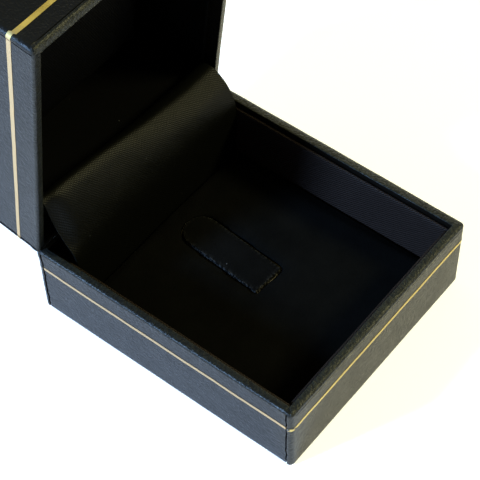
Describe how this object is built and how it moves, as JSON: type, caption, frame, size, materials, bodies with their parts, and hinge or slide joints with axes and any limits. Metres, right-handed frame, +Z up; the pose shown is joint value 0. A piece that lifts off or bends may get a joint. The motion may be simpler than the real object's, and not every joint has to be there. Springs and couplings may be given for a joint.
{
  "type": "ring box",
  "caption": "Hinged leatherette ring box with a velvet pad, a lift-up ring tongue, satin linings and a gold line round base and lid.",
  "frame": {"origin": "centre of the underside of the base", "axes": "+Z up, +Y towards the hinge at the back, +X to the right seen from the front; the lid stands open 82 degrees"},
  "size_m": [0.048, 0.0752, 0.0713],
  "materials": {
    "leatherette": "fine grained, slightly glossy",
    "gold_foil": "hot foil line, bright",
    "moulding": "plain moulded",
    "paper": "thin matte bottom sheet",
    "satin": "twill-backed satin, sheen across the ribs",
    "velvet": "short pile velvet",
    "card": "grey board",
    "foam": "thin foam sheet",
    "steel": "plated spring steel"
  },
  "bodies": {
    "base": {"base_shell": "moulding", "base_wrap": "leatherette", "base_gold_line": "gold_foil", "base_bottom_cover": "paper", "base_lining_left": "satin", "base_lining_right": "satin", "base_lining_front": "satin", "pad_foam": "foam", "pad_board": "card", "pad_velvet": "velvet", "hinge_leaf_base": "steel", "hinge_pin": "steel", "rivet_base_left": "steel", "rivet_base_right": "steel", "snap_spring": "steel", "rivet_spring": "steel", "hinge_flap": "satin"},
    "tongue": {"tongue_card": "card", "tongue_velvet": "velvet"},
    "lid": {"lid_shell": "moulding", "lid_wrap": "leatherette", "lid_gold_line": "gold_foil", "lid_lining_left": "satin", "lid_lining_right": "satin", "lid_lining_front": "satin", "lid_lining_back": "satin", "lid_pad_board": "card", "lid_pad": "satin", "hinge_leaf_lid": "steel", "rivet_lid_left": "steel", "rivet_lid_right": "steel"}
  },
  "joints": [
    {"name": "lid_hinge", "type": "hinge", "parent": "base", "child": "lid", "pos_m": [0, 0.0262, 0.01595], "axis": [1, 0, 0], "range_deg": [-10, 82], "deforming": ["hinge_flap"]},
    {"name": "tongue_fold", "type": "hinge", "parent": "base", "child": "tongue", "pos_m": [0.0014, -0.0026, 0.0042], "axis": [0.9976, -0.0698, 0], "range_deg": [0, 75], "stiffness_Nm_per_rad": 0.0003}
  ]
}
